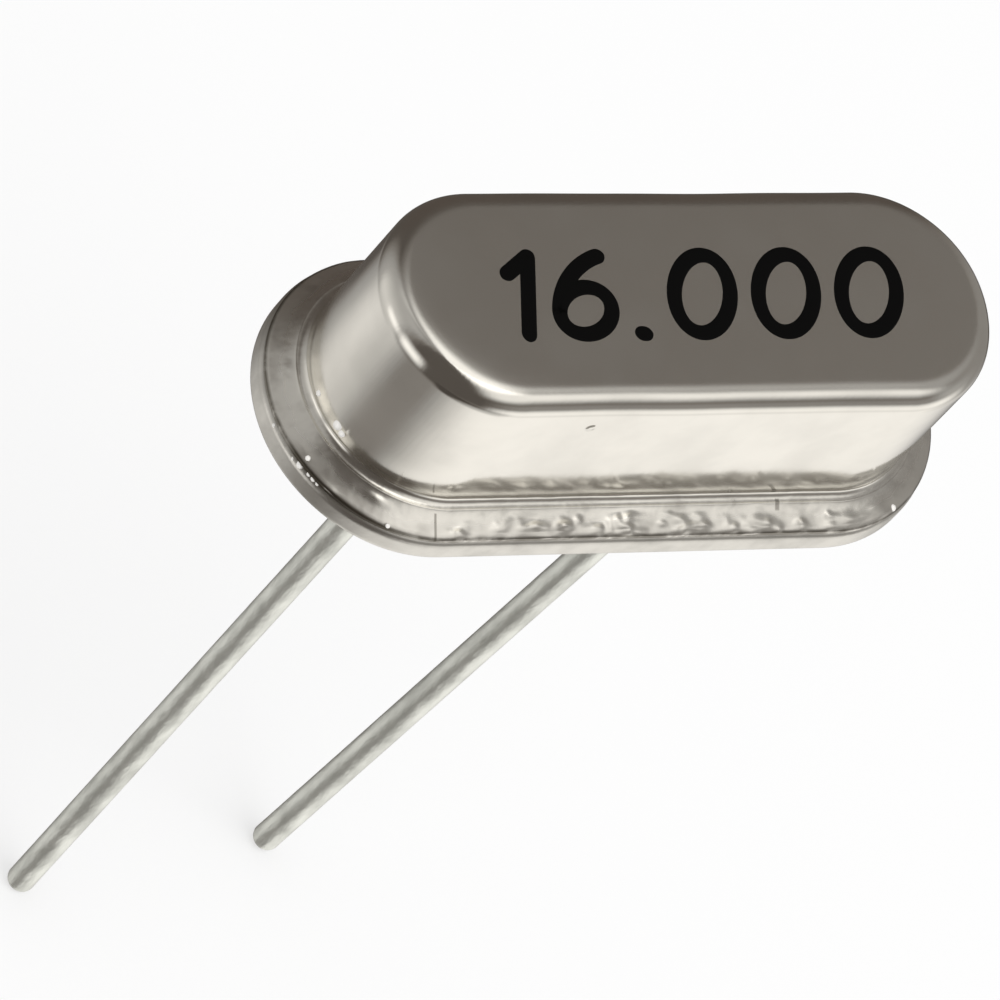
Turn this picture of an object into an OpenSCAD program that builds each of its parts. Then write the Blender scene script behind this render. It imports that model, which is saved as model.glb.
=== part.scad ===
// Low-profile quartz crystal unit in a resistance-welded metal can, with two wire leads.
// Millimetres. The origin is the centre of the board seat, under the base's rim.
// +X runs along the can, +Z points up to the can's top, and the leads run down -Z.

/* [Overall] */
// Length of the base over its rim
base_l = 11.05; // [9:0.05:14]
// Width of the base over its rim
base_w = 4.65; // [3.8:0.05:5.8]
// Height of the can's top above the board seat
height = 3.5; // [2.9:0.05:5]

/* [Base shell] */
// Thickness of the base's sheet, and so of its rim
base_sheet = 0.45; // [0.3:0.01:0.55]
// Rounding of the rim's outer edges
rim_edge_r = 0.12; // [0.03:0.01:0.14]
// How far the middle of the base is pressed up above the seat
dish_rise = 0.25; // [0.1:0.01:0.4]
// Gap between the pressed middle and the inside of the can
dish_gap = 0.12; // [0.05:0.01:0.2]
// Rounding of the pressed middle's upper edge
dish_edge_r = 0.15; // [0.05:0.01:0.2]
// Rounding inside the recess under the pressed middle
recess_edge_r = 0.05; // [0.02:0.01:0.1]
// Height of the collar round each glass seal, above the pressed middle
collar_h = 0.3; // [0.2:0.01:0.6]
// Wall of each collar
collar_wall = 0.2; // [0.1:0.01:0.25]

/* [Can] */
// Thickness of the can's sheet
can_sheet = 0.3; // [0.2:0.01:0.35]
// Width of the ledge from the base's rim in to the can's wall
ledge_w = 0.53; // [0.45:0.01:0.65]
// How far the can's flange stops short of the base's rim
flange_step = 0.03; // [0:0.01:0.08]
// Rounding of the flange's outer edges
flange_edge_r = 0.07; // [0.02:0.01:0.09]
// Outer rounding between the can's top and wall
can_top_r = 0.36; // [0.26:0.01:0.6]
// Inner rounding between the can's top and wall
can_top_inner_r = 0.12; // [0.05:0.01:0.2]
// Fillet between the can's wall and its flange
can_foot_r = 0.12; // [0.05:0.01:0.2]

/* [Leads] */
// Distance between the two leads
lead_pitch = 4.88; // [4:0.01:6]
// Diameter of each lead
lead_d = 0.45; // [0.38:0.01:0.55]
// Length of the left lead below the seat
left_lead_l = 14.8; // [4:0.1:20]
// Length of the right lead below the seat, along its bend
right_lead_l = 14.8; // [4:0.1:20]
// Depth below the seat at which the right lead starts to bend
bend_depth = 2.5; // [1:0.1:3]
// Radius of the bend, at the lead's centre
bend_r = 4; // [1:0.5:8]
// Angle of the bend
bend_angle = 3.2; // [0.5:0.1:15]
// Direction that the right lead bends to, counterclockwise from +X
bend_heading = 128; // [0:1:360]
// Chamfer on the cut end of each lead
tip_chamfer = 0.08; // [0.01:0.01:0.12]
// How far each lead stands out of its seal, up to its flattened head
post_h = 0.25; // [0.1:0.01:0.4]
// How far the flattened head stands out all round
head_overhang = 0.22; // [0.1:0.01:0.3]
// Thickness of the flattened head
head_t = 0.12; // [0.08:0.01:0.2]

/* [Glass seals] */
// Diameter of each glass seal
seal_d = 1.3; // [1.1:0.05:1.6]
// Height of the glass drawn up the lead at each end of the seal
meniscus_h = 0.08; // [0.04:0.01:0.1]

/* [Quartz strip] */
// Thickness of the quartz strip
blank_t = 0.1; // [0.05:0.01:0.2]
// Gap from each end of the strip to the inside of the can
blank_end_gap = 0.695; // [0.6:0.005:0.9]
// Gap from each side of the strip to the inside of the can
blank_side_gap = 0.495; // [0.45:0.005:0.65]
// Height of the strip above the clips' feet
blank_lift = 0.55; // [0.4:0.05:0.7]

/* [Electrodes] */
// Thickness of each silver electrode
electrode_t = 0.01; // [0.01:0.005:0.02]
// Length of the electrodes' overlapping middle
electrode_l = 4.6; // [3:0.1:4.8]
// Margin from the electrode's middle to the strip's sides
electrode_margin = 0.2; // [0.1:0.05:0.3]
// Width of the tab that leads to the strip's end
tab_w = 0.45; // [0.3:0.05:0.5]

/* [Clips] */
// Thickness of the clips' sheet
clip_sheet = 0.1; // [0.06:0.01:0.15]
// Length of the strip that each clip grips
clip_grip = 0.3; // [0.25:0.01:0.4]
// How far the clip's upright stands out past each side of the strip
clip_side = 0.2; // [0.1:0.01:0.25]
// How far the upright stands above the strip
clip_above = 0.3; // [0.2:0.01:0.4]
// Clearance between the strip and the slot in the upright
slot_clearance = 0.03; // [0.02:0.005:0.05]
// Width of the clip's foot
foot_w = 0.8; // [0.5:0.05:1]
// Inside radius of the clip's bend
clip_bend_r = 0.1; // [0.05:0.01:0.15]

/* [Adhesive] */
// Radius of each adhesive dot
dot_r = 0.26; // [0.2:0.01:0.3]
// How far each dot's centre lies in from the clip's upright
dot_inset = 0.08; // [0.02:0.01:0.15]
// How far each dot's centre lies in from the strip's side
dot_side_inset = 0.09; // [0.02:0.01:0.15]

/* [Hidden] */

$fn = 96;
eps = 0.01;                                          // overshoot at a rounded corner
past = 1;                                            // overshoot of a cut past a face

// Outlines are long ovals round one straight line, so each is set by its distance from it.
straight = base_l - base_w;                          // length of the line
rim_u = base_w / 2;                                  // base's rim
flange_u = rim_u - flange_step;                      // can's flange
wall_u = rim_u - ledge_w;                            // can's wall, outside
inner_u = wall_u - can_sheet;                        // can's wall, inside
dish_u = inner_u - dish_gap;                         // pressed middle, outside
recess_u = dish_u - base_sheet;                      // recess under it

flange_z = base_sheet + can_sheet;                   // top of the can's flange
dish_z = dish_rise + base_sheet;                     // top of the pressed middle
collar_z = dish_z + collar_h;                        // top of the collars and seals
head_z = collar_z + post_h;                          // underside of the leads' heads
foot_z = head_z + head_t;                            // underside of the clips' feet
blank_z = foot_z + clip_sheet + blank_lift;          // underside of the strip
shoulder_z = blank_z - blank_lift / 2;               // where the clips' uprights widen

lead_x = lead_pitch / 2;
blank_l = straight + 2 * (inner_u - blank_end_gap);
blank_w = 2 * (inner_u - blank_side_gap);
upright_x = blank_l / 2 - clip_grip;                 // upright's inner face
dot_y = blank_w / 2 - dot_side_inset;

// What lies outside a quarter circle of radius r, about the circle's centre.
module corner_waste(r) {
    difference() {
        square(r + eps);
        circle(r);
    }
}

// A half section from the middle line out to u, with its outer corners rounded.
module half_slab(u, z0, z1, lower_r, upper_r) {
    difference() {
        translate([0, z0]) square([u, z1 - z0]);
        translate([u - upper_r, z1 - upper_r]) corner_waste(upper_r);
        translate([u - lower_r, z0 + lower_r]) mirror([0, 1]) corner_waste(lower_r);
    }
}

// What fills a square corner up to a fillet of radius r; the corner is at the origin.
module fillet_fill(r) {
    difference() {
        square(r);
        translate([r, r]) circle(r);
    }
}

// Carries a half section round the long oval.
module sweep_oval() {
    for (side = [0, 180])
        rotate([0, 0, side]) translate([straight / 2, 0, 0])
            rotate([0, 0, -90]) rotate_extrude(angle = 180) children();
    rotate([90, 0, 90]) linear_extrude(straight, center = true) {
        children();
        mirror([1, 0]) children();
    }
}

// The drawn can: top, wall and turned-out flange of one sheet thickness.
module can() {
    color("#8f8a83") sweep_oval() difference() {
        union() {
            half_slab(wall_u, base_sheet, height, eps, can_top_r);
            half_slab(flange_u, base_sheet, flange_z, flange_edge_r, flange_edge_r);
            translate([wall_u, flange_z]) fillet_fill(can_foot_r);
        }
        half_slab(inner_u, base_sheet - past, height - can_sheet, eps, can_top_inner_r);
        translate([inner_u, base_sheet]) fillet_fill(can_foot_r + can_sheet);
    }
}

// The stamped base: rim, pressed middle and a collar round each seal.
module base_shell() {
    collar_root_z = dish_z - base_sheet / 2;
    color("#b3aa9a") difference() {
        union() {
            sweep_oval() difference() {
                union() {
                    half_slab(rim_u, 0, base_sheet, rim_edge_r, rim_edge_r);
                    half_slab(dish_u, 0, dish_z, eps, dish_edge_r);
                }
                half_slab(recess_u, -past, dish_rise, eps, recess_edge_r);
            }
            for (x = [-lead_x, lead_x])
                translate([x, 0, collar_root_z])
                    cylinder(h = collar_z - collar_root_z, d = seal_d + 2 * collar_wall);
        }
        for (x = [-lead_x, lead_x])
            translate([x, 0, -past]) cylinder(h = collar_z + 2 * past, d = seal_d);
    }
}

// One glass bead, filling a collar's bore and drawn up the lead at both ends.
module glass_seal(x) {
    color("#3c4a44") translate([x, 0, 0]) rotate_extrude() difference() {
        translate([lead_d / 2, dish_rise - meniscus_h])
            square([(seal_d - lead_d) / 2, collar_z - dish_rise + 2 * meniscus_h]);
        for (end = [[collar_z, 0], [dish_rise, 1]])
            translate([seal_d / 2, end[0]]) mirror([0, end[1]])
                translate([-(seal_d - lead_d) / 2, 0]) meniscus_waste();
    }
}

// The hollow of a meniscus: nothing at the lead, and its full height out at the collar.
module meniscus_waste() {
    reach = (seal_d - lead_d) / 2;
    polygon([[0, meniscus_h], [meniscus_h, 0], [reach, 0], [reach, meniscus_h + eps],
             [0, meniscus_h + eps]]);
}

// A cylinder that hangs down from the origin and ends in a chamfered tip.
module tip_length(l) {
    translate([0, 0, -l + tip_chamfer]) cylinder(h = l - tip_chamfer, d = lead_d);
    translate([0, 0, -l]) cylinder(h = tip_chamfer, d1 = lead_d - 2 * tip_chamfer, d2 = lead_d);
}

// The straight stretch of a lead from depth z0 up to its head, and the head.
module lead_top(z0) {
    translate([0, 0, z0]) cylinder(h = head_z + head_t / 2 - z0, d = lead_d);
    translate([0, 0, head_z]) cylinder(h = head_t, d = lead_d + 2 * head_overhang);
}

// The straight lead.
module lead_left() {
    color("#a9a8a2") translate([-lead_x, 0, 0]) {
        lead_top(0);
        tip_length(left_lead_l);
    }
}

// The lead with one slight bend: straight, then an arc, then straight to the tip.
module lead_right() {
    arc_l = bend_r * bend_angle * PI / 180;
    color("#a9a8a2") translate([lead_x, 0, 0]) rotate([0, 0, bend_heading]) {
        lead_top(-bend_depth);
        translate([0, 0, -bend_depth]) {
            translate([bend_r, 0, 0]) rotate([90, 0, 0]) rotate([0, 0, 180])
                rotate_extrude(angle = bend_angle) translate([bend_r, 0]) circle(d = lead_d);
            translate([bend_r * (1 - cos(bend_angle)), 0, -bend_r * sin(bend_angle)])
                rotate([0, -bend_angle, 0]) tip_length(right_lead_l - bend_depth - arc_l);
        }
    }
}

// The slotted spring clip that stands on a lead's head; side is -1 or 1.
module clip(side) {
    bend_x = upright_x - clip_bend_r;
    top_z = blank_z + blank_t + clip_above;
    upright_w = blank_w + 2 * clip_side;
    mirror([side < 0 ? 1 : 0, 0, 0]) color("#c9c4b4") difference() {
        union() {
            translate([lead_x - foot_w / 2, -foot_w / 2, foot_z])
                cube([bend_x - lead_x + foot_w / 2, foot_w, clip_sheet]);
            intersection() {
                translate([bend_x, foot_w / 2, foot_z + clip_sheet + clip_bend_r]) rotate([90, 0, 0])
                    difference() {
                        cylinder(h = foot_w, r = clip_bend_r + clip_sheet);
                        translate([0, 0, -past]) cylinder(h = foot_w + 2 * past, r = clip_bend_r);
                    }
                translate([bend_x, -foot_w, foot_z])
                    cube([past, 2 * foot_w, clip_sheet + clip_bend_r]);
            }
            translate([upright_x, -foot_w / 2, foot_z + clip_sheet + clip_bend_r])
                cube([clip_sheet, foot_w, blank_lift / 2]);
            translate([upright_x, -upright_w / 2, shoulder_z])
                cube([clip_sheet, upright_w, top_z - shoulder_z]);
        }
        translate([upright_x - past, -blank_w / 2 - slot_clearance, blank_z - slot_clearance])
            cube([2 * past, blank_w + 2 * slot_clearance, blank_t + 2 * slot_clearance]);
    }
}

// The quartz strip.
module quartz_blank() {
    color("#e8ecec") translate([-blank_l / 2, -blank_w / 2, blank_z])
        cube([blank_l, blank_w, blank_t]);
}

// One electrode: a middle field and a tab along one side out to the clip; side as for the clip.
module electrode(side, z) {
    field_w = blank_w - 2 * electrode_margin;
    color("#d8d8d4") translate([0, 0, z]) {
        translate([-electrode_l / 2, -field_w / 2, 0]) cube([electrode_l, field_w, electrode_t]);
        rotate([0, 0, side < 0 ? 180 : 0])
            translate([0, blank_w / 2 - tab_w, 0]) cube([upright_x - eps, tab_w, electrode_t]);
    }
}

// One adhesive dot: a ball wrapped round the strip's edge, flat where it meets the clip's upright.
module adhesive(side, y_side) {
    color("#b9b4a6") difference() {
        translate([side * upright_x, y_side * dot_y, blank_z + blank_t / 2])
            rotate([0, side * 90, 0]) rotate_extrude() intersection() {
                translate([0, -dot_inset]) circle(dot_r);
                translate([0, -dot_inset - dot_r]) square([dot_r, dot_inset + dot_r]);
            }
        quartz_blank();
        electrode(-1, blank_z + blank_t);
        electrode(1, blank_z - electrode_t);
    }
}

can();
base_shell();
glass_seal(-lead_x);  // glass_seal_left
glass_seal(lead_x);  // glass_seal_right
lead_left();
lead_right();
clip(-1);  // clip_left
clip(1);  // clip_right
quartz_blank();
electrode(-1, blank_z + blank_t);  // electrode_top
electrode(1, blank_z - electrode_t);  // electrode_bottom
adhesive(-1, -1);  // adhesive_left_front
adhesive(-1, 1);  // adhesive_left_back
adhesive(1, -1);  // adhesive_right_front
adhesive(1, 1);  // adhesive_right_back
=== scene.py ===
"""A low-profile quartz crystal unit: drawn can, stamped base, wire leads, glass seals and a printed number.

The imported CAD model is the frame. Each operator makes one piece, or a group of like pieces, from a formula
and from the sizes in the sidebar. The pieces inside the can keep their CAD meshes and are given finishes.
Lengths are in metres. Angles are in degrees, except that a property holds its angle in radians.
"""

import math

import bmesh
import bpy
import numpy as np
from bpy.props import FloatProperty, FloatVectorProperty, PointerProperty, StringProperty
from mathutils import Matrix, Vector


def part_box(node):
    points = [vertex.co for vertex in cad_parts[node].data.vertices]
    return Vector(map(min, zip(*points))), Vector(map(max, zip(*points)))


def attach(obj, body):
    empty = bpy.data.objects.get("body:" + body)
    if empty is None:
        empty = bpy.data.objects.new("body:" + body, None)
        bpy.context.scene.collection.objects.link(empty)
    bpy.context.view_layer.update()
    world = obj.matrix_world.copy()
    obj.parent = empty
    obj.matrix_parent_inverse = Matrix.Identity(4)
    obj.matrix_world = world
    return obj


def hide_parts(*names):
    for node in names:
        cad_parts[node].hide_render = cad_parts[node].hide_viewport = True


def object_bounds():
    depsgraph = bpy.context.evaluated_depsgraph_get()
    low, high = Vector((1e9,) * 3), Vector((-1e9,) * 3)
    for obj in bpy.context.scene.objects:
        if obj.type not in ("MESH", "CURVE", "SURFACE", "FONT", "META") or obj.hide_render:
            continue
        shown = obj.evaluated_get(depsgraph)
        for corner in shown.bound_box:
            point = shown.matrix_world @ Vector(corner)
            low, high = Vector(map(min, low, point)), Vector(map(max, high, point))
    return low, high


bl_info = {
    "name": "Quartz Crystal Unit",
    "version": (1, 0, 0),
    "blender": (4, 5, 0),
    "location": "3D View > Sidebar > Crystal",
    "description": "Makes the visible pieces of a low-profile quartz crystal unit and its studio",
    "category": "Object",
}

MM = 0.001
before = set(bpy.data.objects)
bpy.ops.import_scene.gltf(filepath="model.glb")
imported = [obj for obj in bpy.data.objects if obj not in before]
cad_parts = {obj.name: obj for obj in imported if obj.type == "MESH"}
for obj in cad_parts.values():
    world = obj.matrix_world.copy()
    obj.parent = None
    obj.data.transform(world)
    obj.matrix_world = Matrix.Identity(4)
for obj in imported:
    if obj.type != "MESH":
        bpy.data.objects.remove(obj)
CAD_BOX = [list(corner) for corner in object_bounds()]
CAN_LOW, CAN_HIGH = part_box("can")
BASE_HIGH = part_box("base_shell")[1]
RIM_U = BASE_HIGH.y  # the rim's distance from the oval's middle line
STRAIGHT = 2 * (BASE_HIGH.x - RIM_U)  # length of that line
FLANGE_U = CAN_HIGH.y  # the can's flange's distance from it
SEAT_SHEET = CAN_LOW.z  # top of the base's rim, under the can's flange
TOP_Z = CAN_HIGH.z
SIDES = {"left": -1, "right": 1}
LEAD_BOXES = {side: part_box(f"lead_{side}") for side in SIDES}
LEAD_X = -(LEAD_BOXES["left"][0].x + LEAD_BOXES["left"][1].x) / 2
SEAL_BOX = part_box("glass_seal_left")
SEAL_R = (SEAL_BOX[1].x - SEAL_BOX[0].x) / 2


# --- sizes and colours that a user would change -------------------------------------------------------------


def length(name, description, millimetres):
    """A length property; its default is given in millimetres."""
    return FloatProperty(name=name, description=description, default=millimetres * MM, precision=6,
                         subtype="DISTANCE", unit="LENGTH")


def degrees(name, description, value):
    """An angle property; its default is given in degrees."""
    return FloatProperty(name=name, description=description, default=math.radians(value), subtype="ANGLE",
                         unit="ROTATION")


def share(name, description, value):
    """A plain number from 0 to 1."""
    return FloatProperty(name=name, description=description, default=value, min=0, max=1, subtype="FACTOR")


def colour(name, description, value):
    """A linear colour."""
    return FloatVectorProperty(name=name, description=description, default=value, size=3, min=0, max=1,
                               subtype="COLOR")


class CanSizes(bpy.types.PropertyGroup):
    """Sizes of the drawn can."""

    sheet: length("Sheet", "Thickness of the can's sheet", 0.3)
    ledge: length("Ledge", "Width from the base's rim in to the can's wall", 0.53)
    top_round: length("Top rounding", "Outer rounding between the top and the wall", 0.36)
    top_inner_round: length("Inner rounding", "Inner rounding between the top and the wall", 0.12)
    foot_round: length("Foot rounding", "Fillet between the wall and the flange", 0.12)
    flange_round: length("Flange rounding", "Rounding of the flange's outer edges", 0.07)
    sag: length("Flange sag", "How far the flange slopes down from the wall to its edge", 0.205)
    wear: length("Corner wear", "How far the rounding is pressed down at the left of the front", 0.022)
    sink: length("Print room", "How far the top lies below the CAD model's, as room for the print", 0.006)
    wave: length("Waviness", "Height of the drawing waves in the wall", 0.006)


class BaseSizes(bpy.types.PropertyGroup):
    """Sizes of the stamped base."""

    rim_round: length("Rim rounding", "Rounding of the rim's outer edges", 0.12)
    dish_rise: length("Dish rise", "How far the middle is pressed up above the seat", 0.25)
    dish_gap: length("Dish gap", "Gap between the pressed middle and the inside of the can", 0.12)
    dish_round: length("Dish rounding", "Rounding of the pressed middle's upper edge", 0.15)
    recess_round: length("Recess rounding", "Rounding inside the recess", 0.05)
    collar_wall: length("Collar wall", "Wall of the collar round each glass seal", 0.2)


class LeadSizes(bpy.types.PropertyGroup):
    """Sizes of the two wire leads."""

    diameter: length("Diameter", "Diameter of the wire", 0.45)
    head_overhang: length("Head overhang", "How far the flattened head stands out all round", 0.22)
    head_thickness: length("Head thickness", "Thickness of the flattened head", 0.12)
    tip_round: length("Tip rounding", "Rounding of the cut end", 0.12)
    right_length: length("Right length", "Length of the right lead below the seat, along its bend", 14.8)
    bend_depth: length("Bend depth", "Depth at which the right lead starts to bend", 2.5)
    bend_radius: length("Bend radius", "Radius of the bend, at the wire's centre", 4)
    bend_angle: degrees("Bend angle", "Angle of the bend", 3.2)
    bend_heading: degrees("Bend heading", "Direction that the right lead bends to, from +X", 128)
    unevenness: length("Tin unevenness", "How much the tin coat's radius varies", 0.006)


class SealSizes(bpy.types.PropertyGroup):
    """Sizes of the glass beads."""

    meniscus: length("Meniscus", "Height of the glass drawn up the lead", 0.08)


class PrintSizes(bpy.types.PropertyGroup):
    """The number printed on the top, and its sizes."""

    text: StringProperty(name="Number", description="The digits printed on the top, with an optional point",
                         default="16.000")
    centre_x: length("Centre X", "Middle of the print along the can", 0.1)
    centre_y: length("Centre Y", "Middle of the print across the can", 0.0)
    height: length("Height", "Height of a digit", 1.53)
    stroke: length("Stroke", "Width of a stroke", 0.27)
    space: length("Space", "Gap between two digits", 0.2)
    slant: degrees("Slant", "Forward slant of the digits", 15.4)
    film: length("Film", "Thickness of the ink", 0.004)


class Finishes(bpy.types.PropertyGroup):
    """Colours of the metals, glass, quartz, adhesive, ink and floor."""

    can: colour("Can metal", "Nickel-plated steel of the can", (0.885, 0.865, 0.81))
    base: colour("Base metal", "Plated steel of the base", (0.77, 0.755, 0.71))
    # this colour also paints the shade in the seam at the left of the front
    scorch_and_shade: colour("Scorch", "Metal blackened by the weld", (0.14, 0.125, 0.10))
    lead: colour("Lead metal", "Tinned wire", (0.90, 0.92, 0.87))
    clip: colour("Clip metal", "Spring sheet of the clips", (0.74, 0.70, 0.62))
    silver: colour("Silver", "Silver film on the quartz", (0.93, 0.92, 0.89))
    glass: colour("Glass", "Sealing glass", (0.03, 0.06, 0.05))
    quartz: colour("Quartz", "Quartz strip", (0.93, 0.95, 0.95))
    glue: colour("Adhesive", "Silver-filled adhesive", (0.50, 0.48, 0.44))
    ink: colour("Ink", "Printing ink", (0.002, 0.002, 0.002))
    floor: colour("Floor", "Studio floor", (1.0, 1.0, 1.0))


class StudioSizes(bpy.types.PropertyGroup):
    """Places and strengths of the camera, the floor and the lights."""

    camera_azimuth: degrees("Camera azimuth", "Direction from the object to the camera, from +X", -141.94)
    camera_elevation: degrees("Camera elevation", "Height of the camera above the horizon", 49.37)
    camera_roll: degrees("Camera roll", "Turn of the camera about its own view", 42.87)
    camera_distance: length("Camera distance", "Distance from the aim to the camera", 150.0)
    camera_lens: FloatProperty(name="Lens", description="Focal length in millimetres", default=378.84)
    aim_x: length("Aim X", "Where the middle of the view meets the seat's plane, along X", -1.878)
    aim_y: length("Aim Y", "Where the middle of the view meets the seat's plane, along Y", -1.381)
    floor_radius: length("Floor radius", "Radius of the floor disc", 560)
    floor_lift: share("Floor lift", "How far the camera sees the floor as plain white", 0.55)
    tent_radius: length("Tent radius", "Radius of the light tent round the object", 250)
    key_strength: share("Key light", "Share of the floor's light that comes from the key light", 0.35)
    world_strength: share("Room light", "Even light from all round", 0.7)


# --- shader arithmetic --------------------------------------------------------------------------------------


class Value:
    """A shader socket that Python's arithmetic works on: each operator adds its Math node."""

    def __init__(self, sheet, socket):
        self.sheet = sheet
        self.socket = socket

    def math(self, operation, *values):
        """The result of a Math node on the given values."""
        return self.sheet.node("ShaderNodeMath", {"operation": operation}, dict(enumerate(values)))

    def __neg__(self):
        return self.math("MULTIPLY", self, -1.0)

    def __add__(self, other):
        return self.math("ADD", self, other)

    def __sub__(self, other):
        return self.math("SUBTRACT", self, other)

    def __rsub__(self, other):
        return self.math("SUBTRACT", other, self)

    def __mul__(self, other):
        return self.math("MULTIPLY", self, other)

    def __truediv__(self, other):
        return self.math("DIVIDE", self, other)

    def __rtruediv__(self, other):
        return self.math("DIVIDE", other, self)

    def __pow__(self, other):
        return self.math("POWER", self, other)

    __radd__ = __add__
    __rmul__ = __mul__

    def larger(self, other):
        return self.math("MAXIMUM", self, other)

    def clamp(self):
        return self.math("MINIMUM", self.larger(0.0), 1.0)

    def absolute(self):
        return self.math("ABSOLUTE", self)

    def arcsine(self):
        return self.math("ARCSINE", self)


class Sheet:
    """One material's node tree, or the world's."""

    def __init__(self, owner):
        owner.use_nodes = True
        self.owner = owner
        self.tree = owner.node_tree
        self.tree.nodes.clear()

    def node(self, kind, settings=None, sockets=None, out=0):
        """Adds a node: its settings are set first, then its sockets get values or links.

        Returns the output that is asked for, or None if the node has no output."""
        made = self.tree.nodes.new(kind)
        for name, value in (settings or {}).items():
            setattr(made, name, value)
        for key, value in (sockets or {}).items():
            if isinstance(value, Value):
                self.tree.links.new(value.socket, made.inputs[key])
            else:
                made.inputs[key].default_value = value
        return Value(self, made.outputs[out]) if made.outputs else None

    def places(self):
        """The point on the piece, in metres in the CAD model's frame."""
        return self.node("ShaderNodeTexCoord", out="Object")

    def axis(self, name):
        """One coordinate of that point."""
        return self.node("ShaderNodeSeparateXYZ", None, {0: self.places()}, out=name)

    def noise(self, size, detail=2.0, roughness=0.5, stretch=(1, 1, 1)):
        """Noise from 0 to 1 with lumps about size across, stretched along the axes by the given factors."""
        scale = [1 / (size * factor) for factor in stretch]
        place = self.node("ShaderNodeMapping", {"vector_type": "POINT"},
                          {"Vector": self.places(), "Scale": scale})
        return self.node("ShaderNodeTexNoise", None,
                         {"Vector": place, "Scale": 1.0, "Detail": detail, "Roughness": roughness})

    def mix(self, factor, first, second):
        """Mixes two colours."""
        return self.node("ShaderNodeMix", {"data_type": "RGBA"}, {0: factor, 6: first, 7: second}, out=2)

    def ease(self, value, low, high):
        """0 below low, 1 above high, and a smooth step between them."""
        return self.node("ShaderNodeMapRange", {"interpolation_type": "SMOOTHSTEP"},
                         {"Value": value, "From Min": low, "From Max": high})

    def band(self, value, rise, fall):
        """0, then 1 between the stretches of value over which it eases up and down again, and 0 beyond."""
        return self.ease(value, *rise) * (1 - self.ease(value, *fall))

    def vector(self, operation, first, second=(0, 0, 0), out=0):
        """The result of a Vector Math node."""
        return self.node("ShaderNodeVectorMath", {"operation": operation}, {0: first, 1: second}, out)

    def bump(self, height, depth, under=None):
        """A normal from a height that runs from 0 to 1 over depth, on top of the normal under it."""
        sockets = {"Height": height, "Distance": depth, "Strength": 1.0}
        if under is not None:
            sockets["Normal"] = under
        return self.node("ShaderNodeBump", None, sockets)

    def surface(self, sockets):
        """Gives the material a Principled BSDF with these sockets, and returns the material."""
        shader = self.node("ShaderNodeBsdfPrincipled", None, sockets)
        self.node("ShaderNodeOutputMaterial", None, {"Surface": shader})
        return self.owner


def opaque(rgb):
    """The colour with a full alpha."""
    return (*rgb, 1.0)


def shaded(rgb, factor):
    """The colour times a factor, as an opaque colour."""
    return opaque([channel * factor for channel in rgb])


# --- surfaces -----------------------------------------------------------------------------------------------


def arc(centre, radius, start, stop, count):
    """Points of an arc: centre + radius * (cos a, sin a), for a evenly from start to stop degrees."""
    a = np.radians(np.linspace(start, stop, count))
    return np.column_stack([centre[0] + radius * np.cos(a), centre[1] + radius * np.sin(a)])


def between(start, stop, count):
    """Points between two ends, without them, closer near both: start + (stop - start)(1 - cos(pi t)) / 2."""
    t = (1 - np.cos(np.pi * np.arange(1, count + 1) / (count + 1))) / 2
    return np.asarray(start) + t[:, None] * (np.asarray(stop) - np.asarray(start))


def outline(start, corners):
    """Points of an outline whose corners are square, and how many of them there are up to each corner's end.

    A corner is its place, the radius of its rounding, and how many points lie on the straight way to it and
    on the rounding. A radius of 0 leaves it sharp, and the last corner is the outline's end. A rounding is
    centre + radius * (sin t ahead - cos t aside) for t from 0 to 90 degrees, ahead being the direction that
    the outline comes from and aside the one that it turns to."""
    points, ends = [[start]], []
    before, last = np.array(start), np.array(start)
    for corner, following in zip(corners, [*corners[1:], corners[-1]]):
        place, radius, way, turn = corner
        here = np.array(place)
        ahead, aside = np.sign(here - before), np.sign(np.array(following[0]) - here)
        first = here - radius * ahead
        t = np.radians(np.linspace(0, 90, turn))[:, None]
        rounding = first + radius * aside + radius * (np.sin(t) * ahead - np.cos(t) * aside)
        points += [between(last, first, way), rounding]
        before, last = here, here + radius * aside
        ends.append(sum(len(part) for part in points))
    return np.concatenate(points), ends


class OvalTrack:
    """Stations round the long oval, anticlockwise from the left end of its front side.

    A station has a foot on the middle line and a unit direction out from it. Along a side the foot moves
    and the direction is square to the line; round an end the foot stays and the direction turns by half a
    turn. travel is the distance gone, measured at distance u from the line."""

    def __init__(self, u, side_steps, end_steps):
        half = STRAIGHT / 2
        side = np.arange(side_steps) / side_steps
        turn = np.pi * np.arange(end_steps) / end_steps
        self.foot = np.concatenate([-half + STRAIGHT * side, np.full(end_steps, half),
                                    half - STRAIGHT * side, np.full(end_steps, -half)])
        angle = np.concatenate([np.full(side_steps, -np.pi / 2), -np.pi / 2 + turn,
                                np.full(side_steps, np.pi / 2), np.pi / 2 + turn])
        self.out_x, self.out_y = np.cos(angle), np.sin(angle)
        self.length = 2 * STRAIGHT + 2 * np.pi * u
        self.travel = np.concatenate([STRAIGHT * side, STRAIGHT + u * turn,
                                      STRAIGHT + np.pi * u + STRAIGHT * side,
                                      2 * STRAIGHT + np.pi * u + u * turn])

    def carry(self, u, z):
        """The points foot + u * direction at height z, for u and z by station and section point."""
        u = np.broadcast_to(u, (len(self.foot), np.shape(u)[-1]))
        z = np.broadcast_to(z, u.shape)
        return np.stack([self.foot[:, None] + u * self.out_x[:, None], u * self.out_y[:, None], z], axis=-1)


def skin(points, close_rows=False, close_columns=False):
    """A part of a piece: points in rows and columns, and the quads between them. Closing the rows joins the
    last row to the first, and closing the columns does so with them."""
    rows, columns = points.shape[:2]
    i, j = np.meshgrid(np.arange(rows if close_rows else rows - 1),
                       np.arange(columns if close_columns else columns - 1), indexing="ij")
    next_i, next_j = (i + 1) % rows, (j + 1) % columns
    corners = [i * columns + j, next_i * columns + j, next_i * columns + next_j, i * columns + next_j]
    return points, np.stack([c.ravel() for c in corners], axis=1)


MERGE_WITHIN = 1e-4 * MM  # points nearer than this become one


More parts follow.
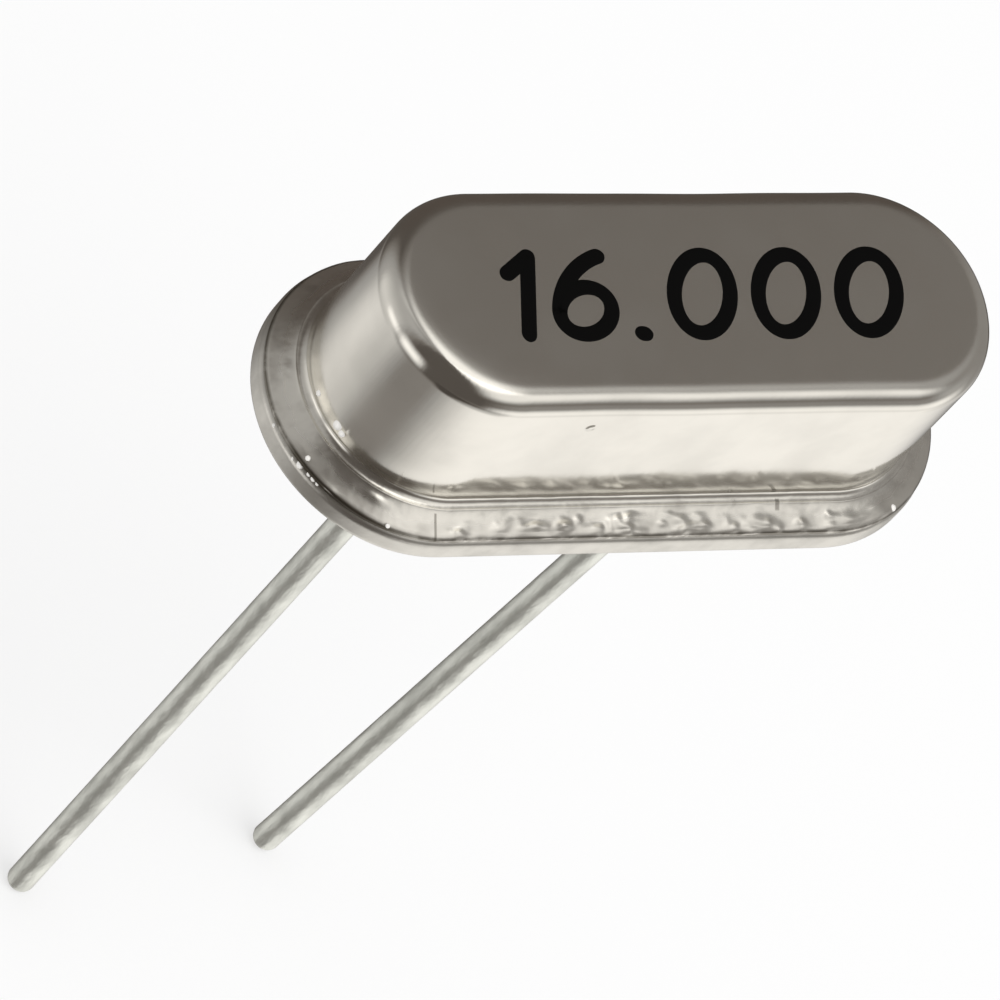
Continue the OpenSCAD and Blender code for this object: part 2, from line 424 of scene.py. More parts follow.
def make_piece(name, parts):
    """A mesh object from (points, faces) parts. Points that meet are merged, and faces turned outwards."""
    points, faces, first = [], [], 0
    for part_points, part_faces in parts:
        points.append(np.reshape(part_points, (-1, 3)))
        faces += (part_faces + first).tolist()
        first += len(points[-1])
    mesh = bpy.data.meshes.new(name)
    mesh.from_pydata(np.concatenate(points).tolist(), [], faces)
    work = bmesh.new()
    work.from_mesh(mesh)
    bmesh.ops.remove_doubles(work, verts=work.verts, dist=MERGE_WITHIN)
    bmesh.ops.recalc_face_normals(work, faces=work.faces)
    work.to_mesh(mesh)
    work.free()
    mesh.shade_smooth()
    made = bpy.data.objects.new(name, mesh)
    bpy.context.scene.collection.objects.link(made)
    return made


def finished(piece, material, slot, *nodes):
    """Gives a piece its material and its body, and hides the CAD nodes that it stands for. slot is not used.
    """
    piece.data.materials.clear()
    piece.data.materials.append(material)
    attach(piece, "root")
    if nodes:
        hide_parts(*nodes)


def unit_ball(rings, steps):
    """Points (cos b cos a, cos b sin a, sin b), for b in rings from pole to pole and a in steps round."""
    b = np.radians(np.linspace(-90, 90, rings))
    a = 2 * np.pi * np.arange(steps) / steps
    return np.stack([np.outer(np.cos(b), np.cos(a)), np.outer(np.cos(b), np.sin(a)),
                     np.repeat(np.sin(b)[:, None], steps, axis=1)], axis=-1)


def smooth(t):
    """3 t^2 - 2 t^3 for t from 0 to 1, and the nearer end outside that."""
    t = np.clip(t, 0, 1)
    return t * t * (3 - 2 * t)


def drawing_waves(track, height, turns, seed):
    """A closed wave round the oval: the sum over k of height / sqrt(k) * sin(2 pi k travel / length + phase),
    for the given numbers of turns k."""
    rng = np.random.default_rng(seed)
    wave = np.zeros_like(track.travel)
    for k in turns:
        wave += height / math.sqrt(k) * np.sin(2 * np.pi * k * track.travel / track.length
                                               + rng.uniform(0, 2 * np.pi))
    return wave


def bell(track, middle, reach):
    """exp(-(t / reach)^2) for the distance t along the track from the middle, a share of the whole round."""
    t = (track.travel - (middle - 0.5) * track.length) % track.length - track.length / 2
    return np.exp(-(t / reach) ** 2)


# The weld's scars on the can's flange. Ranges and distances are in mm.
SCAR_COUNT = 260
SCARS_IN_FRONT = 0.6  # share of them that lies along the front
SCARS_FRONT_END = 1.14  # where that ends, as a share of the straight front
SCAR_TO_EDGE = (0.14, 0.06)  # mean distance in from the edge, and its spread
SCAR_LENGTH = (0.05, 0.17)
SCAR_WIDTH = (0.035, 0.07)
SCAR_HEIGHT = (-0.009, 0.023)
SCAR_ELSEWHERE = 0.85  # height of the other scars beside that


def weld_relief(track, run, edge, seed):
    """Height of the weld's scars by station and section point, run being the distance down the section from
    the ledge's inner end and edge the ledge's width.

    A sum of bells height * exp(-(t / length)^2 - (s / width)^2), for the distances t along the seam and s
    across it from a bell's middle."""
    rng = np.random.default_rng(seed)
    front = rng.uniform(0, 1, SCAR_COUNT) < SCARS_IN_FRONT
    front_middle = rng.uniform(0, SCARS_FRONT_END, SCAR_COUNT) * STRAIGHT
    middle = np.where(front, front_middle, rng.uniform(0, 1, SCAR_COUNT) * track.length)
    across = rng.normal(edge - SCAR_TO_EDGE[0] * MM, SCAR_TO_EDGE[1] * MM, SCAR_COUNT)
    length = rng.uniform(*SCAR_LENGTH, SCAR_COUNT) * MM
    width = rng.uniform(*SCAR_WIDTH, SCAR_COUNT) * MM
    height = rng.uniform(*SCAR_HEIGHT, SCAR_COUNT) * np.where(front, 1.0, SCAR_ELSEWHERE) * MM
    t = (track.travel[:, None] - middle + track.length / 2) % track.length - track.length / 2
    return (height * np.exp(-(t / length) ** 2)) @ np.exp(-((run[:, None] - across) / width) ** 2).T


# --- finishes -----------------------------------------------------------------------------------------------


def oval_distance(sheet):
    """The distance of a point on the piece from the oval's middle line, seen from above."""
    past = (sheet.axis("X").absolute() - STRAIGHT / 2).larger(0.0)
    return (past ** 2 + sheet.axis("Y") ** 2) ** 0.5


SEAM_BLACK = 0.85  # how black the seam's patches are, where 1 is scorch


def seam_weld_black_and_shade(sheet):
    """How dark the seam is: blackened by the weld in patches all round, and fully dark at the left of the
    front, where the dark is painted shade in the seam.
    """
    patches = sheet.ease(sheet.noise(0.5 * MM, detail=4.0, roughness=0.65), 0.25, 0.55)
    # painted shade in the seam at the left of the front
    leftwards = sheet.ease(-sheet.axis("X"), 3.3 * MM, 4.3 * MM)
    corner = leftwards * sheet.ease(-sheet.axis("Y"), 0.3 * MM, 0.9 * MM)
    return (patches * SEAM_BLACK).larger(corner)


# The ticks across the front of the flange: place along the can, half width, and where they start and end as
# distances from the oval's middle line, all in mm.
SEAM_TICKS = ((-3.475, 0.026, 1.98, 2.4), (2.22, 0.05, 1.87, 1.99))


def seam_ticks(sheet, u):
    """1 on two thin ticks across the flange, one where its front starts and a short one further right."""
    marks = 0.0
    for x, half, inner, outer in SEAM_TICKS:
        off = (sheet.axis("X") - x * MM).absolute()
        across = sheet.band(u, ((inner - 0.02) * MM, inner * MM), (outer * MM, (outer + 0.04) * MM))
        marks = marks + across * (1 - sheet.ease(off, 0.4 * half * MM, half * MM))
    return marks * sheet.ease(-sheet.axis("Y"), 0.0, 0.1 * MM)


def dimple(sheet, middle, radius):
    """1 at a point on the surface, falling to 0 at the radius."""
    away = sheet.vector("DISTANCE", sheet.places(), middle, out="Value")
    return 1 - sheet.ease(away, 0.1 * radius, radius)


# The small dent in the wall: place along the can, height, radius and depth, in mm.
DENT_X, DENT_Z, DENT_RADIUS, DENT_DEPTH = -1.99, 2.86, 0.11, 0.02
# The weld beads carry a painted highlight: a nearly white, mostly matt colour stands in for their glint.
BEAD_PAINTED_HIGHLIGHT = (1.0, 0.98, 0.94, 1)
BEAD_ROUGHNESS = 0.3
BEAD_HIGHLIGHT_SHARE = 0.85  # how far the painted white highlight takes the place of a bead's metal


def can_metal(finishes, flange, wall):
    """Plated steel: the wall is nearly a mirror with fine drawing lines and a small dent, and the top is
    duller. The flange is satin with scars, and its side is blackened by the weld in patches, with painted
    shade in the seam at the left of the front. The weld beads carry a painted highlight, nearly white and
    matt.

    flange is the height of the flange's top, and wall the wall's distance from the oval's middle line."""
    sheet = Sheet(bpy.data.materials.new("can_metal"))
    z, u = sheet.axis("Z"), oval_distance(sheet)
    top = sheet.ease(z, TOP_Z - 0.05 * MM, TOP_Z - 0.01 * MM)
    low = 1 - sheet.ease(z, flange + 0.01 * MM, flange + 0.1 * MM)
    outside = low * sheet.ease(u, FLANGE_U - 0.3 * MM, FLANGE_U - 0.1 * MM)
    side = low * sheet.ease(u, FLANGE_U - 0.05 * MM, FLANGE_U - 0.01 * MM)
    side = side * (1 - sheet.ease(z, SEAT_SHEET + 0.08 * MM, SEAT_SHEET + 0.13 * MM))
    side = side * (1 - sheet.ease(u, FLANGE_U + 0.002 * MM, FLANGE_U + 0.008 * MM))
    rubbed = sheet.band(z, (flange + 0.3 * MM, flange + 0.8 * MM), (flange + MM, flange + 2.2 * MM))
    rubbed = rubbed * sheet.ease(-sheet.axis("X"), 3.3 * MM, 4.0 * MM)
    blotch = sheet.noise(1.2 * MM, detail=3.0)
    scar = sheet.noise(0.35 * MM, detail=2.0)
    grain = sheet.noise(0.05 * MM, detail=3.0, roughness=0.6)
    lines = sheet.noise(0.06 * MM, detail=2.0, stretch=(1, 1, 14))
    bead = sheet.node("ShaderNodeAttribute", {"attribute_name": "bead"}, out="Fac")
    tint = sheet.mix(sheet.ease(blotch, 0.3, 0.75), opaque(finishes.can), shaded(finishes.can, 0.9))
    smoked, ticked = low * sheet.ease(scar, 0.5, 0.75) * 0.2, low * seam_ticks(sheet, u) * 0.6
    # the flange's side: weld blackening in patches, and painted shade in the seam at the left of the front
    for darkened in (smoked, side * seam_weld_black_and_shade(sheet), ticked):
        tint = sheet.mix(darkened, tint, opaque(finishes.scorch_and_shade))
    # painted highlight: the beads are turned nearly white and matt
    tint = sheet.mix(bead, tint, BEAD_PAINTED_HIGHLIGHT)
    plain = 0.1 + top * 0.12 + sheet.ease(blotch, 0.4, 0.7) * 0.04 + rubbed * 0.13
    roughness = plain + low * (0.06 + scar * 0.12) + outside * 0.1
    roughness = roughness + (BEAD_ROUGHNESS - roughness) * bead
    dent = dimple(sheet, (DENT_X * MM, -wall, DENT_Z * MM), DENT_RADIUS * MM)
    fine = sheet.bump(grain * top + lines * (1 - top), 0.0006 * MM)
    fine = sheet.bump(dent, -DENT_DEPTH * MM, under=fine)
    return sheet.surface({"Base Color": tint, "Metallic": 1 - bead * BEAD_HIGHLIGHT_SHARE, "Roughness": roughness,
                          "Normal": sheet.bump(scar * low, 0.01 * MM, under=fine)})


def base_metal(finishes):
    """Stamped plated steel with satin blotches, blackened by the weld in patches along the seam, with painted
    shade in the seam at the left of the front.
    """
    sheet = Sheet(bpy.data.materials.new("base_metal"))
    blotch = sheet.noise(0.5 * MM, detail=4.0)
    grain = sheet.noise(0.05 * MM, detail=2.0)
    seam = sheet.ease(sheet.axis("Z"), SEAT_SHEET - 0.03 * MM, SEAT_SHEET - 0.002 * MM)
    tint = sheet.mix(sheet.ease(blotch, 0.35, 0.75), opaque(finishes.base), shaded(finishes.base, 0.8))
    # the rim's top by the seam: weld blackening in patches, and painted shade in the seam at the left of the
    # front
    tint = sheet.mix(seam * seam_weld_black_and_shade(sheet), tint, opaque(finishes.scorch_and_shade))
    return sheet.surface({"Base Color": tint, "Metallic": 1.0, "Roughness": 0.24 + blotch * 0.2,
                          "Normal": sheet.bump(grain, 0.0015 * MM, under=sheet.bump(blotch, 0.01 * MM))})


def plain_metal(name, tint, roughness, spread, grain_size, grain_depth, stretch=(1, 1, 1),
                blotch_size=0.8 * MM):
    """Satin metal with blotches in its colour and roughness, and a fine grain."""
    sheet = Sheet(bpy.data.materials.new(name))
    blotch = sheet.noise(blotch_size, detail=3.0, stretch=stretch)
    grain = sheet.noise(grain_size, detail=2.0, stretch=stretch)
    tone = sheet.mix(sheet.ease(blotch, 0.35, 0.75), opaque(tint), shaded(tint, 0.8))
    return sheet.surface({"Base Color": tone, "Metallic": 1.0, "Roughness": roughness + blotch * spread,
                          "Normal": sheet.bump(grain, grain_depth)})


def seal_glass(finishes):
    """Dark green glass, glossy, with a slight unevenness."""
    sheet = Sheet(bpy.data.materials.new("seal_glass"))
    cloud = sheet.noise(0.2 * MM, detail=2.0)
    return sheet.surface({"Base Color": sheet.mix(cloud, opaque(finishes.glass), shaded(finishes.glass, 0.6)),
                          "Roughness": 0.08 + cloud * 0.06, "IOR": 1.52,
                          "Normal": sheet.bump(cloud, 0.004 * MM)})


def quartz_crystal(finishes):
    """Clear quartz with a lapped, slightly frosted face."""
    sheet = Sheet(bpy.data.materials.new("quartz"))
    lapped = sheet.noise(0.03 * MM, detail=2.0)
    return sheet.surface({"Base Color": opaque(finishes.quartz), "Roughness": 0.1 + lapped * 0.15,
                          "IOR": 1.544, "Transmission Weight": 0.85,
                          "Normal": sheet.bump(lapped, 0.0005 * MM)})


def dull_paste(name, tint, roughness, grain_size, depth, gloss=0.5):
    """A matt or satin filled material with a fine grain in its colour and surface."""
    sheet = Sheet(bpy.data.materials.new(name))
    grain = sheet.noise(grain_size, detail=3.0, roughness=0.6)
    tone = sheet.mix(grain, opaque(tint), shaded(tint, 0.7))
    return sheet.surface({"Base Color": tone, "Roughness": roughness, "Specular IOR Level": gloss,
                          "Normal": sheet.bump(grain, depth)})


# --- pieces -------------------------------------------------------------------------------------------------


# Beads thrown off the weld, most of them at the left end: angle round the oval's end in degrees, and distance
# from that end's centre, height and radius in mm. The last three are on the wall.
WELD_BEADS = (
    (205.5, 2.280, 0.44, 0.060), (205.7, 2.230, 0.60, 0.040), (202.2, 2.285, 0.40, 0.034),
    (210.1, 2.285, 0.46, 0.036), (212.4, 2.280, 0.46, 0.044), (214.6, 2.285, 0.45, 0.030),
    (188.2, 2.290, 0.40, 0.036), (243.8, 2.285, 0.56, 0.036), (299.0, 2.230, 0.57, 0.055),
    (184.6, 1.800, 1.00, 0.048), (202.4, 1.800, 1.04, 0.076), (206.4, 1.800, 1.00, 0.055),
)
BEAD_ON_FLANGE = 2.0  # a bead further out than this is on the flange, in mm
BEAD_FACING = (251, 62)  # azimuth and elevation its flat side faces there
WALL_BEAD_RISE = 20  # elevation that it faces on the wall
BEAD_FLATNESS = 0.65
BEAD_STEPS, BEAD_RINGS = 20, 13
BEAD_POINTS = BEAD_STEPS * (BEAD_RINGS - 2) + 2  # with its poles merged


def weld_bead(angle, distance, height, radius):
    """A drop sunk about half way into the metal, its flat side upwards and to the front, or outwards on the
    can's wall: radius times (d - flatness (d . tip) tip), for the directions d of a unit ball."""
    end = -STRAIGHT / 2 if 90 < angle < 270 else STRAIGHT / 2
    turn = math.radians(angle)
    centre = np.array([end / MM + distance * math.cos(turn), distance * math.sin(turn), height])
    tip = np.array(heading(*BEAD_FACING) if distance > BEAD_ON_FLANGE else heading(angle, WALL_BEAD_RISE))
    ball = unit_ball(BEAD_RINGS, BEAD_STEPS)
    ball -= BEAD_FLATNESS * (ball @ tip)[..., None] * tip
    return (centre + radius * ball) * MM


def mark_beads(can):
    """Sets the can's attribute "bead" to 1 on the beads, whose points are its mesh's last, and else to 0."""
    on_bead = np.zeros(len(can.data.vertices))
    on_bead[-BEAD_POINTS * len(WELD_BEADS):] = 1
    can.data.attributes.new("bead", "FLOAT", "POINT").data.foreach_set("value", on_bead)


WALL_WAVES = (2, 3, 5, 7, 9, 13)  # turns of the waves in the can's wall
EDGE_WAVES = (14, 23, 31, 44, 57)  # turns of the waves in its flange's edge
EDGE_WAVE = 0.006  # their height in mm
# Where the flange sags deeper: place as a share of the way round, reach in mm, and how much deeper.
DEEP_SAGS = ((0.97, 0.8, 0.15), (0.8, 2.4, 0.3))
SAG_POWER = 0.85  # below 1, the sag is steeper by the wall
# The worn corner: place as a share of the way round, reach, and where the wear starts inside the rounding and
# the width over which it comes in, in mm.
WORN_PLACE, WORN_REACH, WORN_START, WORN_WIDTH = 0.94, 1.3, 0.14, 0.26


class CRYSTAL_OT_can(bpy.types.Operator):
    """Makes the drawn can: a half section carried round the long oval, waved, sagged, scarred and beaded"""

    bl_idname = "crystal.can"
    bl_label = "Can"

    def execute(self, context):
        sizes = context.scene.crystal_can
        wall = RIM_U - sizes.ledge
        flange = SEAT_SHEET + sizes.sheet
        points = self.pressed(sizes, wall, flange)
        beads = [skin(weld_bead(*bead), close_columns=True) for bead in WELD_BEADS]
        can = make_piece("drawn_can", [skin(points, close_rows=True), *beads])
        mark_beads(can)
        finished(can, can_metal(context.scene.crystal_finishes, flange, wall), "can_metal", "can")
        return {"FINISHED"}

    def pressed(self, sizes, wall, flange):
        """The half section at every station, with the wall's waves, the flange's sag and scars, and the worn
        corner. It runs down the outside, over the flange, and up the inside."""
        inner, top, ceiling = wall - sizes.sheet, TOP_Z - sizes.sink, TOP_Z - sizes.sheet
        section, (_, lip_start, _, lip_end, *_) = outline((0, top), [
            ((wall, top), sizes.top_round, 8, 19),
            ((wall, flange), sizes.foot_round, 16, 9),
            ((FLANGE_U, flange), sizes.flange_round, 15, 7),
            ((FLANGE_U, SEAT_SHEET), sizes.flange_round, 5, 6),
            ((inner, SEAT_SHEET), sizes.foot_round + sizes.sheet, 3, 9),
            ((inner, ceiling), sizes.top_inner_round, 4, 5),
            ((0, ceiling), 0, 4, 1),
        ])
        u, z = section[:, 0], section[:, 1]
        index = np.arange(len(u))
        on_outside = index < lip_start
        on_lip = ~on_outside & (index < lip_end)
        scarred = ~on_outside & (index < lip_end - 3)  # the lip's last points, at the seam, stay plain
        track = OvalTrack(wall, side_steps=200, end_steps=110)
        wave = drawing_waves(track, sizes.wave, WALL_WAVES, seed=7)
        fade = smooth((z - flange) / (1.2 * MM)) * smooth((u - 0.5 * wall) / (0.5 * wall))
        shift = (fade * on_outside)[None, :] * wave[:, None]
        slope = np.gradient(section, axis=0)
        slope /= np.linalg.norm(slope, axis=1)[:, None]
        run = np.cumsum(np.hypot(*np.diff(section, axis=0, prepend=section[:1]).T))
        run -= run[lip_start]
        edge = FLANGE_U - wall - sizes.foot_round
        relief = weld_relief(track, run, edge, seed=11) * scarred
        sag = sizes.sag * sum((more * bell(track, place, reach * MM) for place, reach, more in DEEP_SAGS), 1)
        sag += drawing_waves(track, EDGE_WAVE * MM, EDGE_WAVES, seed=5)
        share_down = np.clip(run / edge, 0, 1) ** SAG_POWER * np.clip((z - SEAT_SHEET) / sizes.sheet, 0, 1)
        drop = sag[:, None] * (share_down * on_lip)[None, :]
        shoulder = sizes.top_round
        worn = smooth((u - wall + shoulder + WORN_START * MM) / (WORN_WIDTH * MM))
        worn *= smooth((z - top + 3 * shoulder) / (2 * shoulder)) * on_outside
        drop += sizes.wear * bell(track, WORN_PLACE, WORN_REACH * MM)[:, None] * worn[None, :]
        out = np.minimum(u + shift - relief * slope[:, 1], RIM_U)
        return track.carry(out, z + relief * slope[:, 0] - drop)


class CRYSTAL_OT_base(bpy.types.Operator):
    """Makes the stamped base: a half section carried round the oval, with a bored collar at each seal"""

    bl_idname = "crystal.base"
    bl_label = "Base"

    def execute(self, context):
        sizes = context.scene.crystal_base
        can = context.scene.crystal_can
        dish = RIM_U - can.ledge - can.sheet - sizes.dish_gap
        recess = dish - SEAT_SHEET
        dish_top = sizes.dish_rise + SEAT_SHEET
        section, _ = outline((0, dish_top), [
            ((dish, dish_top), sizes.dish_round, 6, 7),
            ((dish, SEAT_SHEET), 0, 2, 1),
            ((RIM_U, SEAT_SHEET), sizes.rim_round, 6, 11),
            ((RIM_U, 0), sizes.rim_round, 4, 11),
            ((recess, 0), 0, 8, 1),
            ((recess, sizes.dish_rise), sizes.recess_round, 3, 6),
            ((0, sizes.dish_rise), 0, 6, 1),
        ])
        track = OvalTrack(RIM_U, side_steps=150, end_steps=90)
        points = track.carry(section[:, 0], section[:, 1])
        base = make_piece("stamped_base", [skin(points, close_rows=True)])
        outer, root, top = SEAL_R + sizes.collar_wall, dish_top - SEAT_SHEET / 2, BASE_HIGH.z
        collar = [(0, top), (outer, top), (outer, root), (0, root)]
        bore = [(0, 2 * top), (SEAL_R, 2 * top), (SEAL_R, -top), (0, -top)]
        for sign in SIDES.values():
            self.combine(base, "UNION", sign, collar)
            self.combine(base, "DIFFERENCE", sign, bore)
        flatten_shading(base)
        finished(base, base_metal(context.scene.crystal_finishes), "base_metal", "base_shell")
        return {"FINISHED"}

    def combine(self, base, operation, sign, section):
        """Joins or cuts a turned shape at the lead on the side with that sign."""
        tool = make_piece("tool", [skin(turned(np.array(section), sign * LEAD_X), close_rows=True)])
        cut = base.modifiers.new("cut", "BOOLEAN")
        cut.operation = operation
        cut.solver = "EXACT"
        cut.object = tool
        with bpy.context.temp_override(object=base, active_object=base):
            bpy.ops.object.modifier_apply(modifier=cut.name)
        bpy.data.objects.remove(tool)


TURN_STEPS = 96  # points round a collar, a bore or a glass bead


def turned(section, x):
    """A half section turned about the vertical line at x: (x + r cos a, r sin a, z)."""
    a = 2 * np.pi * np.arange(TURN_STEPS) / TURN_STEPS
    r, z = section[:, 0], section[:, 1]
    height = np.broadcast_to(z, (TURN_STEPS, len(z)))
    return np.stack([x + np.outer(np.cos(a), r), np.outer(np.sin(a), r), height], axis=-1)


def flatten_shading(piece):
    """Smooth shading, except across edges sharper than 30 degrees."""
    piece.data.shade_smooth()
    piece.data.set_sharp_from_angle(angle=math.radians(30))


WIRE_STEPS, WIRE_SIDES = 360, 72  # rings down the wire, and points round each
TIN_WAVES = range(3, 40, 4)  # waves of the tin's thickness along the wire


class CRYSTAL_OT_leads(bpy.types.Operator):
    """Makes the two tinned wires: a round section carried down a straight or bent line, from head to tip"""

    bl_idname = "crystal.leads"
    bl_label = "Leads"

    def execute(self, context):
        sizes = context.scene.crystal_leads
        finishes = context.scene.crystal_finishes
        tin = plain_metal("lead_metal", finishes.lead, roughness=0.28, spread=0.32, grain_size=0.14 * MM,
                          grain_depth=0.021 * MM, stretch=(1, 1, 2.5), blotch_size=0.3 * MM)
        reach = {"left": -LEAD_BOXES["left"][0].z, "right": sizes.right_length}
        for side, sign in SIDES.items():
            wire = self.wire(sizes, f"tinned_lead_{side}", sign, reach[side])
            finished(wire, tin, "lead_metal", f"lead_{side}")
        return {"FINISHED"}

    def wire(self, sizes, name, side, reach):
        """Rings of the wire's radius at depths along its line, from the head down to the tip.

        The tin's radius varies with the sum over k of sin(2 pi k depth / reach + phase) / sqrt(k)."""
        r = sizes.diameter / 2
        head_r = r + sizes.head_overhang
        head_top = -LEAD_BOXES["left"][1].z
        head_foot = head_top + sizes.head_thickness
        tip = sizes.tip_round
        shank = np.linspace(head_foot, reach - tip, WIRE_STEPS)
        fall = np.radians(np.linspace(0, 90, 8)[1:])
        depth = np.concatenate([[head_top, head_top, head_foot], shank,
                                reach - tip + tip * np.sin(fall), [reach]])
        rng = np.random.default_rng(20 + side)
        uneven = np.zeros_like(shank)
        for k in TIN_WAVES:
            uneven += np.sin(2 * np.pi * k * shank / reach + rng.uniform(0, 6.3)) / k ** 0.5
        radius = np.concatenate([[0, head_r, head_r], r - sizes.unevenness * (0.5 + 0.12 * uneven),
                                 r - sizes.unevenness - tip * (1 - np.cos(fall)), [0]])
        bend = sizes.bend_angle if side > 0 else 0.0
        arc_end = sizes.bend_depth + sizes.bend_radius * bend
        turn = np.clip((depth - sizes.bend_depth) / sizes.bend_radius, 0, bend)
        past = np.clip(depth - arc_end, 0, None)
        off = sizes.bend_radius * (1 - np.cos(turn)) + past * np.sin(turn)
        down = np.minimum(depth, sizes.bend_depth) + sizes.bend_radius * np.sin(turn) + past * np.cos(turn)
        a = 2 * np.pi * np.arange(WIRE_SIDES) / WIRE_SIDES
        across, aside = np.outer(radius, np.cos(a)), np.outer(radius, np.sin(a))
        along = off[:, None] + across * np.cos(turn)[:, None]
        z = -down[:, None] + across * np.sin(turn)[:, None]
        cosine, sine = math.cos(sizes.bend_heading), math.sin(sizes.bend_heading)
        x = side * LEAD_X + along * cosine - aside * sine
        y = along * sine + aside * cosine
        made = make_piece(name, [skin(np.stack([x, y, z], axis=-1), close_columns=True)])
        flatten_shading(made)
        return made


class CRYSTAL_OT_seals(bpy.types.Operator):
    """Makes the glass beads round the leads: a turned section drawn up the wire at both ends"""

    bl_idname = "crystal.seals"
    bl_label = "Glass seals"

    def execute(self, context):
        rise = context.scene.crystal_seals.meniscus
        wire = context.scene.crystal_leads.diameter / 2
        foot = wire + rise
        low, high = SEAL_BOX[0].z + rise, SEAL_BOX[1].z - rise
        section = np.concatenate([
            between((wire, low - rise), (wire, high + rise), 6)[::-1], [(wire, high + rise)],
            arc((foot, high + rise), rise, 180, 270, 9)[1:], between((foot, high), (SEAL_R, high), 6),
            [(SEAL_R, high), (SEAL_R, low)], between((SEAL_R, low), (foot, low), 6),
            arc((foot, low - rise), rise, 90, 180, 9),
        ])
        glass = seal_glass(context.scene.crystal_finishes)
        for side, sign in SIDES.items():
            points = turned(section, sign * LEAD_X)
            bead = make_piece(f"glass_bead_{side}", [skin(points, close_rows=True, close_columns=True)])
            flatten_shading(bead)
            finished(bead, glass, "seal_glass", f"glass_seal_{side}")
        return {"FINISHED"}


class CRYSTAL_OT_works(bpy.types.Operator):
    """Gives the CAD pieces inside the can their finishes"""

    bl_idname = "crystal.works"
    bl_label = "Works inside"

    def execute(self, context):
        finishes = context.scene.crystal_finishes
        clip = plain_metal("clip_metal", finishes.clip, roughness=0.3, spread=0.1, grain_size=0.05 * MM,
                           grain_depth=0.001 * MM)
        silver = plain_metal("silver_film", finishes.silver, roughness=0.12, spread=0.1,
                             grain_size=0.03 * MM, grain_depth=0.0004 * MM)
        glue = dull_paste("conductive_glue", finishes.glue, roughness=0.65, grain_size=0.04 * MM,
                          depth=0.003 * MM)
        quartz = quartz_crystal(finishes)
        looks = (("clip", clip, "clip_metal"), ("electrode", silver, "silver_film"),
                 ("adhesive", glue, "conductive_glue"), ("quartz", quartz, "quartz"))
        for name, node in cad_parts.items():
            for start, material, slot in looks:
                if name.startswith(start):
                    node.data.materials.clear()
                    node.data.materials.append(material)
        return {"FINISHED"}


# --- print --------------------------------------------------------------------------------------------------


def digit_strokes(character):
    """The middle lines of a digit's strokes, each with whether it is closed, and the digit's width, where a
    digit is one high.

    The 0 is an ellipse; the 1 is an upright and a flag; the 6 is an ellipse with part of a taller one over
    its left side."""
    if character == "0":
        a = np.radians(np.linspace(90, 450, 72, endpoint=False))
        return [(np.column_stack([0.37 + 0.37 * np.cos(a), 0.5 + 0.5 * np.sin(a)]), True)], 0.74
    if character == "1":
        upright, flag = np.array([(0.27, 1.0), (0.27, 0.0)]), np.array([(0.27, 1.0), (0.0, 0.78)])
        return [(between(*upright, 12), False), (between(*flag, 8), False)], 0.3
    if character == "6":
        a = np.radians(np.linspace(180, 540, 60, endpoint=False))
        b = np.radians(np.linspace(72, 0, 22))
        bowl = np.column_stack([0.34 + 0.34 * np.cos(a), 0.3 + 0.3 * np.sin(a)])
        rise = np.column_stack([0.72 - 0.72 * np.cos(b), 0.3 + 0.73 * np.sin(b)])
        return [(bowl, True), (rise, False)], 0.68
    if character == ".":
        return [(np.array([(0.03, 0.0), (0.05, 0.0)]), False)], 0.08
    raise ValueError(f"the print has no shape for {character!r}")


def stroke_solid(line, closed, width, low, high):
    """An inked stroke: a low rounded section carried along the line, with round ends.

    At a point of the line the section runs from -w to w across it, at height low + (high - low)(1 - v^2)^0.2
    on top and at low below, and w shrinks as a half circle past each end."""
    step = np.gradient(line, axis=0)
    if closed:
        step = (np.roll(line, -1, axis=0) - np.roll(line, 1, axis=0)) / 2
    tangent = step / np.linalg.norm(step, axis=1)[:, None]
    half = np.full(len(line), width / 2)
    if not closed:
        a = np.radians(np.linspace(0, 90, 7)[1:])
        for end, sign in ((0, -1), (-1, 1)):
            cap = line[end] + sign * tangent[end] * (width / 2) * np.sin(a)[:, None]
            rows = np.repeat(tangent[[end]], len(a), axis=0)
            if end == 0:
                line, tangent = np.concatenate([cap[::-1], line]), np.concatenate([rows, tangent])
                half = np.concatenate([(width / 2 * np.cos(a))[::-1], half])
            else:
                line, tangent = np.concatenate([line, cap]), np.concatenate([tangent, rows])
                half = np.concatenate([half, width / 2 * np.cos(a)])
    normal = np.column_stack([-tangent[:, 1], tangent[:, 0]])
    v_top, v_under = np.linspace(-1, 1, 13), np.linspace(1, -1, 5)[1:-1]
    v = np.concatenate([v_top, v_under])
    top = np.arange(len(v)) < len(v_top)
    z = np.where(top, low + (high - low) * (1 - v ** 2) ** 0.2, low)
    flat = line[:, None, :] + normal[:, None, :] * (half[:, None] * v)[:, :, None]
    points = np.concatenate([flat, np.broadcast_to(z[None, :, None], (*flat.shape[:2], 1))], axis=-1)
    return skin(points, close_rows=closed, close_columns=True)


INK_BELOW_TOP = 0.0005  # how far the ink stays below the CAD model's top, in mm


